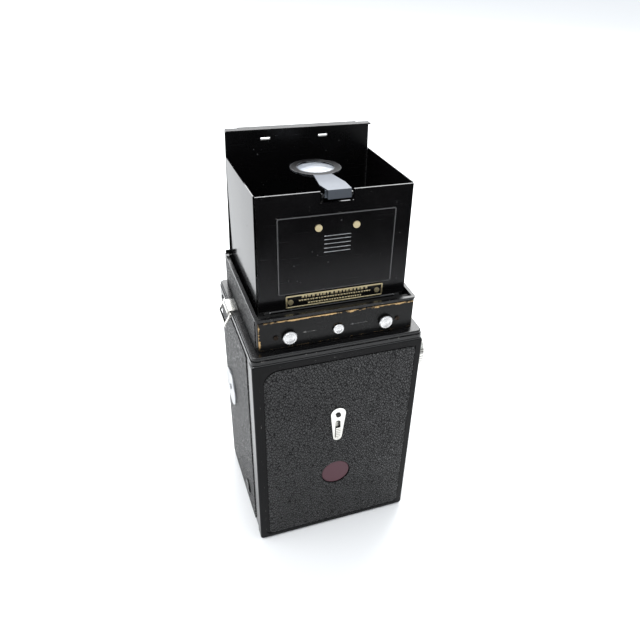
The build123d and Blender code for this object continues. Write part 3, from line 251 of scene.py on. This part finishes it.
def handling_group():
    """What years of use leave: pale dust specks, broad smudges and fine straight scratches."""
    tree, given, result = group("handling marks", [("Specks", FLOAT, 0.3)], ["Dust", "Smudge", "Scratch"])
    where = put(tree, "ShaderNodeTexCoord").outputs["Object"]
    dots = put(tree, "ShaderNodeTexVoronoi", {"Vector": where, "Scale": 420.0, "Randomness": 1.0})
    pick = put(tree, "ShaderNodeTexNoise", {"Vector": where, "Scale": 210.0, "Detail": 1.0})
    size = maths(tree, "MULTIPLY", ramp(tree, pick.outputs["Fac"], 0.52, 0.72), 0.16)
    speck = maths(tree, "LESS_THAN", dots.outputs["Distance"], size)
    dust = maths(tree, "MULTIPLY", speck, given.outputs["Specks"])
    smudge = put(
        tree, "ShaderNodeTexNoise", {"Vector": where, "Scale": 45.0, "Detail": 5.0, "Roughness": 0.6}
    )
    turned = put(
        tree,
        "ShaderNodeMapping",
        {"Vector": where, "Rotation": (0.5, 0.3, 0.7), "Scale": (60.0, 2600.0, 2600.0)},
    )
    lines = put(tree, "ShaderNodeTexNoise", {"Vector": turned.outputs[0], "Scale": 1.0, "Detail": 2.0})
    scratch = ramp(tree, lines.outputs["Fac"], 0.66, 0.74)
    tree.links.new(dust, result.inputs["Dust"])
    tree.links.new(smudge.outputs["Fac"], result.inputs["Smudge"])
    tree.links.new(scratch, result.inputs["Scratch"])
    return tree


def turned_group():
    """Rings left by a lathe round a centre, seen across an axis that Across zeroes."""
    tree, given, result = group(
        "lathe rings",
        [("Centre", VECTOR, (0, 0, 0)), ("Across", VECTOR, (1, 0, 1)), ("Pitch", FLOAT, 0.0003)],
        ["Height", "Spoke"],
    )
    where = put(tree, "ShaderNodeTexCoord").outputs["Object"]
    offset = put(tree, "ShaderNodeVectorMath", {0: where, 1: given.outputs["Centre"]}, operation="SUBTRACT")
    flat = put(
        tree, "ShaderNodeVectorMath", {0: offset.outputs[0], 1: given.outputs["Across"]}, operation="MULTIPLY"
    )
    radius = put(tree, "ShaderNodeVectorMath", {0: flat.outputs[0]}, operation="LENGTH").outputs["Value"]
    turns = maths(tree, "DIVIDE", radius, given.outputs["Pitch"])
    wave = maths(tree, "SINE", maths(tree, "MULTIPLY", turns, 2 * math.pi))
    jitter = put(tree, "ShaderNodeTexNoise", {"W": turns, "Scale": 3.0, "Detail": 2.0}, noise_dimensions="1D")
    tree.links.new(maths(tree, "MULTIPLY", wave, jitter.outputs["Fac"]), result.inputs["Height"])
    tree.links.new(jitter.outputs["Fac"], result.inputs["Spoke"])
    return tree


GROUPS = {}


def use(tree, name, values=None):
    """Places one of the shared groups in a material."""
    node = tree.nodes.new("ShaderNodeGroup")
    node.node_tree = GROUPS[name]
    for key, value in (values or {}).items():
        node.inputs[key].default_value = value
    return node.outputs


def material(name, plain):
    """A material with one Principled shader; plain values go straight on its sockets."""
    mat = bpy.data.materials.new(name)
    mat.use_nodes = True
    tree = mat.node_tree
    shader = tree.nodes["Principled BSDF"]
    for key, value in plain.items():
        shader.inputs[key].default_value = value
    return mat, tree, shader


def bump(tree, shader, height, distance, strength=1.0):
    node = put(tree, "ShaderNodeBump", {"Height": height, "Distance": distance, "Strength": strength})
    tree.links.new(node.outputs["Normal"], shader.inputs["Normal"])


# ---------------------------------------------------------------- materials
def enamel(
    name, colour, rough, wear, bare, orange_peel=0.00002, dust=0.3, wear_width=0.0005, level=0.42, top=0.42
):
    """Stoved black enamel over metal: slight orange peel, smudges, dust, and edges rubbed to bare metal.

    The shine is set by which way a face looks, from level on side faces to top on upward faces: painted
    reflection.
    """
    mat, tree, shader = material(name, {})
    facing = put(tree, "ShaderNodeNewGeometry").outputs["Normal"]
    upwards = put(tree, "ShaderNodeSeparateXYZ", {"Vector": facing}).outputs["Z"]
    # painted reflection: the shine changes with the way a face looks, from level on side faces to top on
    # upward faces
    tree.links.new(ramp(tree, upwards, 0.25, 0.8, level, top), shader.inputs["Specular IOR Level"])
    marks = use(tree, "handling marks", {"Specks": dust})
    edge = use(tree, "edge wear", {"Amount": wear, "Width": wear_width})["Mask"]
    where = put(tree, "ShaderNodeTexCoord").outputs["Object"]
    peel = put(tree, "ShaderNodeTexNoise", {"Vector": where, "Scale": 1500.0, "Detail": 2.0})
    tone = blend_colour(tree, marks["Smudge"], colour, tuple(1.7 * c for c in colour[:3]) + (1,))
    dusty = blend_colour(tree, marks["Dust"], tone, (0.10, 0.10, 0.10, 1))
    painted = blend_colour(tree, edge, dusty, bare)
    tree.links.new(painted, shader.inputs["Base Color"])
    tree.links.new(edge, shader.inputs["Metallic"])
    gloss = maths(tree, "ADD", ramp(tree, marks["Smudge"], 0.3, 0.75, rough, rough + 0.1), marks["Dust"])
    scratched = maths(tree, "ADD", gloss, maths(tree, "MULTIPLY", marks["Scratch"], 0.12), clamp=True)
    tree.links.new(scratched, shader.inputs["Roughness"])
    bump(tree, shader, peel.outputs["Fac"], orange_peel, 0.6)
    return mat


def head_plate_enamel():
    """Black enamel over brass, rubbed through in ragged strips along the top and left edges."""
    mat, tree, shader = material("head plate enamel", {"Specular IOR Level": 0.22})
    low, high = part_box("head_rear_plate")
    marks = use(tree, "handling marks", {"Specks": 0.2})
    edge = use(tree, "edge wear", {"Amount": 0.5, "Width": 0.0005})["Mask"]
    where = put(tree, "ShaderNodeTexCoord").outputs["Object"]
    place = put(tree, "ShaderNodeSeparateXYZ", {"Vector": where})
    stretched = put(tree, "ShaderNodeMapping", {"Vector": where, "Scale": (130.0, 130.0, 500.0)})
    ragged = put(
        tree,
        "ShaderNodeTexNoise",
        {"Vector": stretched.outputs[0], "Scale": 1.0, "Detail": 5.0, "Roughness": 0.7},
    )
    near_top = ramp(tree, place.outputs["Z"], high.z - 0.0020, high.z - 0.0001)
    near_left = ramp(tree, place.outputs["X"], high.x - 0.0018, high.x - 0.0001)
    nearness = maths(tree, "MAXIMUM", near_top, near_left)
    level = maths(tree, "ADD", ragged.outputs["Fac"], maths(tree, "MULTIPLY", nearness, 0.27))
    strips = maths(tree, "MAXIMUM", ramp(tree, level, 0.72, 0.78), edge)
    tone = blend_colour(tree, marks["Smudge"], (0.003, 0.003, 0.003, 1), (0.006, 0.006, 0.006, 1))
    bare = blend_colour(tree, ragged.outputs["Fac"], (0.34, 0.21, 0.09, 1), (0.72, 0.50, 0.25, 1))
    tree.links.new(blend_colour(tree, strips, tone, bare), shader.inputs["Base Color"])
    tree.links.new(strips, shader.inputs["Metallic"])
    tree.links.new(ramp(tree, marks["Smudge"], 0.3, 0.75, 0.26, 0.38), shader.inputs["Roughness"])
    bump(tree, shader, strips, 0.00003, 0.5)
    return mat


def leather():
    """Black covering hide with a coarse raised pebble, tone in broad patches, and painted shade in the
    creases.
    """
    mat, tree, shader = material("black pebbled leather", {})
    grain = use(tree, "pebble grain", {"Cells per metre": 800.0})
    marks = use(tree, "handling marks", {"Specks": 0.2})
    patchy = ramp(tree, grain["Tone"], 0.35, 0.7)
    top = blend_colour(tree, patchy, (0.007, 0.007, 0.0075, 1), (0.018, 0.018, 0.019, 1))
    # painted shade: the creases between the pebbles are darkened in the colour
    hide = blend_colour(tree, grain["Crease"], top, (0.0015, 0.0015, 0.0015, 1))
    dusty = blend_colour(tree, marks["Dust"], hide, (0.14, 0.14, 0.135, 1))
    tree.links.new(dusty, shader.inputs["Base Color"])
    tree.links.new(ramp(tree, grain["Height"], 0.3, 1.1, 0.50, 0.26), shader.inputs["Roughness"])
    # painted shade: the creases get far less shine than the pebble tops
    shine = ramp(tree, grain["Crease"], 0.0, 1.0, 0.66, 0.12)
    tree.links.new(shine, shader.inputs["Specular IOR Level"])
    bump(tree, shader, grain["Height"], 0.0012, 1.0)
    return mat


def bright_metal(name, colour, rough, tarnish, metallic=1.0):
    """Plated or bare metal with fine scratches and a broken film of tarnish."""
    mat, tree, shader = material(name, {"Metallic": metallic})
    marks = use(tree, "handling marks", {"Specks": 0.2})
    edge = use(tree, "edge wear", {"Amount": 0.5, "Width": 0.0003})["Mask"]
    film = ramp(tree, marks["Smudge"], 0.45, 0.75)
    tone = blend_colour(tree, film, colour, tarnish)
    rubbed = blend_colour(tree, edge, tone, tuple(min(1.0, 1.15 * c) for c in colour[:3]) + (1,))
    tree.links.new(rubbed, shader.inputs["Base Color"])
    gloss = ramp(tree, marks["Smudge"], 0.3, 0.8, rough, rough + 0.12)
    scratched = maths(tree, "ADD", gloss, maths(tree, "MULTIPLY", marks["Scratch"], 0.15))
    tree.links.new(scratched, shader.inputs["Roughness"])
    bump(tree, shader, marks["Scratch"], 0.00001, 0.4)
    return mat


def turned_metal(name, centre, across, pitch, colour=(0.86, 0.86, 0.86, 1)):
    """A lathe-faced nickel head, with rings round its own centre."""
    mat, tree, shader = material(name, {"Metallic": 1.0, "Anisotropic": 0.5})
    rings = use(tree, "lathe rings", {"Centre": centre, "Across": across, "Pitch": pitch})
    marks = use(tree, "handling marks", {"Specks": 0.2})
    dulled = tuple(0.72 * c for c in colour[:3]) + (1,)
    tone = blend_colour(tree, ramp(tree, rings["Spoke"], 0.35, 0.7), dulled, colour)
    tree.links.new(tone, shader.inputs["Base Color"])
    tree.links.new(ramp(tree, marks["Smudge"], 0.3, 0.8, 0.22, 0.38), shader.inputs["Roughness"])
    bump(tree, shader, rings["Height"], 0.00004, 0.8)
    return mat


def arm_metal():
    """Satin plate on the arm; the flat ring round the glass is blacked, with a worn outer edge."""
    mat, tree, shader = material("magnifier arm plate", {"Metallic": 1.0})
    marks = use(tree, "handling marks", {"Specks": 0.2})
    edge = use(tree, "edge wear", {"Amount": 0.6, "Width": 0.0004})["Mask"]
    low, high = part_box("magnifier_glass")
    where = put(tree, "ShaderNodeTexCoord").outputs["Object"]
    middle = tuple((low + high) / 2)
    away = put(tree, "ShaderNodeVectorMath", {0: where, 1: middle}, operation="DISTANCE").outputs["Value"]
    outside = ramp(tree, away, 0.0112, 0.0120)
    plate = blend_colour(tree, marks["Smudge"], (0.125, 0.138, 0.158, 1), (0.10, 0.11, 0.127, 1))
    blacked = blend_colour(tree, edge, (0.012, 0.012, 0.013, 1), (0.34, 0.35, 0.37, 1))
    tree.links.new(blend_colour(tree, outside, blacked, plate), shader.inputs["Base Color"])
    tree.links.new(ramp(tree, marks["Smudge"], 0.3, 0.8, 0.34, 0.44), shader.inputs["Roughness"])
    bump(tree, shader, marks["Scratch"], 0.00001, 0.4)
    return mat


def clear_glass():
    mat, tree, shader = material("lens glass", {"Transmission Weight": 1.0, "IOR": 1.5})
    marks = use(tree, "handling marks", {"Specks": 0.1})
    tint = blend_colour(tree, marks["Smudge"], (0.97, 0.985, 0.98, 1), (0.93, 0.95, 0.96, 1))
    tree.links.new(tint, shader.inputs["Base Color"])
    tree.links.new(ramp(tree, marks["Smudge"], 0.5, 0.9, 0.0, 0.06), shader.inputs["Roughness"])
    return mat


def hazy_glass():
    """Old pressed magnifier glass with a pale bloom, wipe marks and dust."""
    mat, tree, shader = material("hazy magnifier glass", {"Transmission Weight": 0.55, "IOR": 1.5})
    marks = use(tree, "handling marks", {"Specks": 0.5})
    where = put(tree, "ShaderNodeTexCoord").outputs["Object"]
    wiped = put(
        tree,
        "ShaderNodeMapping",
        {"Vector": where, "Rotation": (0.0, 0.0, 0.6), "Scale": (90.0, 700.0, 90.0)},
    )
    streaks = put(tree, "ShaderNodeTexNoise", {"Vector": wiped.outputs[0], "Scale": 1.0, "Detail": 3.0})
    streak = streaks.outputs["Fac"]
    bloom = blend_colour(tree, ramp(tree, streak, 0.35, 0.7), (0.52, 0.56, 0.62, 1), (0.80, 0.83, 0.88, 1))
    dusty = blend_colour(tree, marks["Dust"], bloom, (0.95, 0.95, 0.95, 1))
    tree.links.new(dusty, shader.inputs["Base Color"])
    tree.links.new(ramp(tree, streak, 0.3, 0.75, 0.10, 0.24), shader.inputs["Roughness"])
    return mat


def ground_glass():
    mat, tree, shader = material("ground focusing glass", {"Transmission Weight": 0.25})
    where = put(tree, "ShaderNodeTexCoord").outputs["Object"]
    frost = put(tree, "ShaderNodeTexNoise", {"Vector": where, "Scale": 6000.0, "Detail": 2.0})
    tone = blend_colour(tree, frost.outputs["Fac"], (0.16, 0.17, 0.17, 1), (0.24, 0.25, 0.25, 1))
    tree.links.new(tone, shader.inputs["Base Color"])
    tree.links.new(ramp(tree, frost.outputs["Fac"], 0.3, 0.7, 0.35, 0.5), shader.inputs["Roughness"])
    return mat


def red_plastic():
    mat, tree, shader = material("dark red window", {"Specular IOR Level": 0.4})
    marks = use(tree, "handling marks", {"Specks": 0.3})
    tone = blend_colour(tree, marks["Smudge"], (0.050, 0.012, 0.020, 1), (0.085, 0.024, 0.036, 1))
    dusty = blend_colour(tree, marks["Dust"], tone, (0.25, 0.14, 0.14, 1))
    tree.links.new(dusty, shader.inputs["Base Color"])
    tree.links.new(ramp(tree, marks["Smudge"], 0.3, 0.8, 0.25, 0.45), shader.inputs["Roughness"])
    return mat


def silvering():
    mat, tree, shader = material("front silvered mirror", {"Metallic": 1.0})
    marks = use(tree, "handling marks", {"Specks": 0.2})
    tone = blend_colour(tree, marks["Smudge"], (0.93, 0.93, 0.94, 1), (0.86, 0.86, 0.87, 1))
    tree.links.new(tone, shader.inputs["Base Color"])
    tree.links.new(ramp(tree, marks["Smudge"], 0.5, 0.9, 0.02, 0.09), shader.inputs["Roughness"])
    return mat


def paint(mat, *nodes):
    """Gives CAD nodes a material."""
    for name in nodes:
        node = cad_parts[name]
        node.data.materials.clear()
        node.data.materials.append(mat)


# ---------------------------------------------------------------- pieces
def mesh_piece(name, points, faces, body, mat, smooth=True):
    """Puts computed points and quads into a closed mesh piece that rides on a body."""
    mesh = bpy.data.meshes.new(name)
    mesh.from_pydata(points.tolist(), [], faces.tolist())
    mesh.validate()
    mesh.polygons.foreach_set("use_smooth", [smooth] * len(mesh.polygons))
    mesh.materials.append(mat)
    piece = bpy.data.objects.new(name, mesh)
    bpy.context.scene.collection.objects.link(piece)
    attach(piece, body)
    return piece


def grid_faces(rows, columns, offset=0, wrap_rows=False, wrap_columns=False):
    """Quads of a grid of points numbered row by row; either direction may close on itself."""
    i = np.arange(rows if wrap_rows else rows - 1)[:, None]
    j = np.arange(columns if wrap_columns else columns - 1)[None, :]
    i2 = (i + 1) % rows
    j2 = (j + 1) % columns
    quads = np.stack([i * columns + j, i * columns + j2, i2 * columns + j2, i2 * columns + j], axis=-1)
    return quads.reshape(-1, 4) + offset


BAR_POINTS = 5  # points along each side of a bar's face
BAR_EDGE = 0.15  # share of a bar's height that its rim already stands out
BAR_SINK = 0.3  # share of a bar's height that its back lies below the face
MOULDING_SINK = 0.05  # mm that a moulding's back lies below the face


def raised_bars(name, boxes, face_y, height, body, mat):
    """Low pillow-shaped bars on a face looking along +Y.

    Each bar is a 5 x 5 grid over (u, v) in -1..1: x and z run over the bar's box, and y stands out by
    height * (1 - u^4) * (1 - v^4); a flat back at the face closes it.
    """
    u = np.linspace(-1, 1, BAR_POINTS)
    uu, vv = np.meshgrid(u, u)
    bulge = (1 - uu**4) * (1 - vv**4)
    front_quads = grid_faces(BAR_POINTS, BAR_POINTS)
    face_points = BAR_POINTS**2
    index = np.arange(face_points).reshape(BAR_POINTS, BAR_POINTS)
    rim = np.concatenate([index[0, :-1], index[:-1, -1], index[-1, :0:-1], index[:0:-1, 0]])
    points = []
    faces = []
    for count, (x0, x1, z0, z1) in enumerate(boxes):
        x = (x0 + x1) / 2 - uu * (x1 - x0) / 2
        z = (z0 + z1) / 2 + vv * (z1 - z0) / 2
        y = face_y + height * (BAR_EDGE + (1 - BAR_EDGE) * bulge)
        front = np.stack([x, y, z], axis=-1).reshape(-1, 3)
        back = front.copy()
        back[:, 1] = face_y - height * BAR_SINK
        base = count * 2 * face_points
        following = np.roll(rim, -1)
        sides = np.stack([rim, rim + face_points, following + face_points, following], axis=-1)
        points += [front, back]
        faces += [front_quads + base, front_quads[:, ::-1] + base + face_points, sides + base]
    return mesh_piece(name, np.concatenate(points) * MM, np.concatenate(faces), body, mat)


def rounded_loop(half_x, half_z, corner, steps=6):
    """Points and outward directions round a rounded rectangle, anticlockwise seen from +Y."""
    turn = np.radians(np.linspace(0, 90, steps))
    quarter = np.stack([np.cos(turn), np.sin(turn)], axis=-1)
    directions = []
    centres = []
    for k, (sx, sz) in enumerate(((1, 1), (-1, 1), (-1, -1), (1, -1))):
        angle = math.pi / 2 * k
        spin = np.array([[math.cos(angle), -math.sin(angle)], [math.sin(angle), math.cos(angle)]])
        directions.append(quarter @ spin.T)
        centres.append(np.tile([sx * (half_x - corner), sz * (half_z - corner)], (steps, 1)))
    out = np.concatenate(directions)
    return np.concatenate(centres) + out * corner, out


def raised_border(name, centre, half_x, half_z, corner, width, face_y, height, body, mat):
    """A half-round moulding round a rounded rectangle, width by height in section, closed at its back."""
    line, out = rounded_loop(half_x, half_z, corner)
    angle = np.linspace(0, math.pi, 7)
    across = np.concatenate([width / 2 * np.cos(angle) - width / 2, [-width, 0.0]])
    rise = np.concatenate([height * np.sin(angle) ** 0.6, [-MOULDING_SINK, -MOULDING_SINK]])
    x = centre[0] - (line[:, None, 0] + out[:, None, 0] * across)
    z = centre[1] + line[:, None, 1] + out[:, None, 1] * across
    y = np.broadcast_to(face_y + rise, x.shape)
    points = np.stack([x, y, z], axis=-1).reshape(-1, 3)
    faces = grid_faces(len(line), len(across), wrap_rows=True, wrap_columns=True)
    return mesh_piece(name, points * MM, faces, body, mat)


def word_bars(rng, left, right, low, high, shortest, longest, gap):
    """A row of plain dashes of uneven length between two limits, standing in for a line of lettering."""
    boxes = []
    x = left
    while x < right - shortest:
        length = min(rng.uniform(shortest, longest), right - x)
        boxes.append((x, x + length, low, high))
        x += length + gap * rng.uniform(0.8, 1.6)
    return boxes


# ---------------------------------------------------------------- make everything
studio()
place_camera()
GROUPS["pebble grain"] = pebble_group()
GROUPS["edge wear"] = wear_group()
GROUPS["handling marks"] = handling_group()
GROUPS["lathe rings"] = turned_group()

BLACK = (0.0022, 0.0021, 0.0023, 1)
BRASS_BARE = (0.62, 0.36, 0.13, 1)
STEEL_BARE = (0.62, 0.60, 0.56, 1)

# the last two numbers of each enamel set its painted reflection strength for side faces and for upward faces
mirror_black = enamel("gloss black enamel", BLACK, 0.06, 0.40, STEEL_BARE, 0.000004, 0.15, 0.0004, 0.10, 0.9)
panel_black = enamel("panel black enamel", BLACK, 0.12, 0.38, STEEL_BARE, 0.000006, 0.25, 0.0004, 0.24, 0.9)
lid_black = enamel("lid black enamel", BLACK, 0.22, 0.30, STEEL_BARE, 0.00001, 0.6, 0.0004, 0.20, 0.10)
deck_black = enamel("deck black enamel", BLACK, 0.22, 0.40, STEEL_BARE, 0.00001, 0.2, 0.0004, 0.42, 0.8)
door_black = enamel("door black enamel", BLACK, 0.16, 0.38, STEEL_BARE, 0.00001, 0.15, 0.0004, 0.12, 1.0)
plate_black = head_plate_enamel()
nameplate_black = enamel("nameplate enamel", BLACK, 0.28, 0.4, BRASS_BARE, 0.00001, 0.2, 0.0003, 0.2)
field_edge_black = enamel(
    "pressed edge enamel", (0.02, 0.02, 0.021, 1), 0.16, 0.5, STEEL_BARE, 0.000004, 0.1, 0.0002, 1.0
)
inner_black = enamel("matt black lining", (0.004, 0.004, 0.004, 1), 0.6, 0.1, STEEL_BARE)
hide = leather()
nickel = bright_metal("bright nickel plate", (0.84, 0.83, 0.80, 1), 0.14, (0.62, 0.60, 0.55, 1))
dull_nickel = bright_metal("dulled nickel plate", (0.40, 0.41, 0.42, 1), 0.30, (0.28, 0.285, 0.29, 1))
browned = bright_metal("browned steel", (0.035, 0.026, 0.02, 1), 0.35, (0.015, 0.011, 0.009, 1))
satin = bright_metal("satin aluminium", (0.46, 0.50, 0.56, 1), 0.36, (0.40, 0.43, 0.48, 1))
brass = bright_metal("worn brass", (0.86, 0.74, 0.46, 1), 0.38, (0.55, 0.43, 0.22, 1))
steel = bright_metal("spring steel", (0.56, 0.56, 0.57, 1), 0.25, (0.42, 0.41, 0.40, 1))
glass = clear_glass()

paint(mirror_black, "hood_side_left", "hood_side_right")
paint(panel_black, "hood_rear_panel", "magnifier_bracket")
paint(lid_black, "hood_lid")
paint(deck_black, "top_deck", "head_housing")
paint(door_black, "back_door", "body_shell", "base_plate", "front_plate", "lens_board", "supply_pin")
paint(plate_black, "head_rear_plate")
paint(nameplate_black, "nameplate")
paint(inner_black, "hood_base", "film_frame", "film_gate", "mirror_shelf")
paint(inner_black, "pressure_plate", "window_blade", "takeup_spool")
paint(steel, "shutter_blades", "hinge_pins", "film_roller_top", "film_roller_bottom")
paint(hide, "body_leathers", "head_leather", "door_leather")
paint(nickel, "winding_knob", "strap_lugs", "strap_ring_left", "strap_ring_right")
paint(nickel, "window_plate", "window_slider", "tripod_bush")
paint(nickel, "cocking_lever", "release_lever", "aperture_lever")
paint(nickel, "taking_lens_cell", "viewing_lens_cell", "speed_ring")
paint(dull_nickel, "side_disc")
paint(browned, "small_screws")
paint(arm_metal(), "magnifier_arm")
paint(satin, "taking_focus_ring", "viewing_focus_ring", "shutter_housing", "viewing_tube")
paint(brass, "panel_rivets")
paint(glass, "taking_glass", "viewing_glass", "rear_glass")
paint(hazy_glass(), "magnifier_glass")
paint(ground_glass(), "focusing_screen")
paint(silvering(), "mirror")
paint(red_plastic(), "red_window")
for button in ("hood_release_button", "latch_button_left", "latch_button_right"):
    low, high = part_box(button)
    centre = tuple((low + high) / 2)
    paint(turned_metal("turned face of " + button, centre, (1, 0, 1), 0.00055), button)

SHOWN = {name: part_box(name) for name in ("nameplate", "hood_rear_panel", "hood_base")}
plate_low, plate_high = SHOWN["nameplate"]
plate_middle = ((plate_low.x + plate_high.x) / MM / 2, (plate_low.z + plate_high.z) / MM / 2)
plate_face = plate_high.y / MM
raised_border(
    "nameplate_border", plate_middle, 23.2, 3.2, 0.8, 0.75, plate_face, 0.14, "rear_panel", brass
)
rng = np.random.default_rng(7)

rows = word_bars(rng, -16.0, 15.5, 144.7, 146.0, 0.9, 1.5, 0.5)
rows += word_bars(rng, -17.5, 17.0, 143.1, 143.9, 0.6, 1.2, 0.3)
rows += word_bars(rng, -13.0, 12.5, 141.4, 142.2, 0.6, 1.2, 0.3)
raised_bars("nameplate_bars", rows, plate_face, 0.12, "rear_panel", brass)

field_face = SHOWN["hood_rear_panel"][1].y / MM
ruled = [(-6.6, 5.5, z, z + 0.35) for z in (166.0, 167.9, 169.9, 171.9, 173.6)]
raised_bars("ruled_scale_lines", ruled, field_face, 0.03, "rear_panel", dull_nickel)
raised_bars(
    "catch_tab", [(-5.0, 3.0, 138.9, 139.9)], SHOWN["hood_base"][1].y / MM, 0.5, "camera", brass
)
raised_border(
    "pressed_field_edge", (-0.5, 165.6), 26.6, 18.2, 1.0, 0.55, field_face - 0.12, 0.22, "rear_panel",
    field_edge_black,
)

mark_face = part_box("head_rear_plate")[1].y / MM
marks = []
for near, far, z in ((10.7, 16.8, 130.7), (-14.4, -5.8, 130.9)):
    marks += [(near, far, z, z + 0.22)]
    marks += [(far - 0.5 * k - 0.5, far - 0.5 * k, z - 0.22 * k, z + 0.22 + 0.22 * k) for k in (1, 2)]
raised_bars("pull_marks", marks, mark_face, 0.03, "camera", field_edge_black)
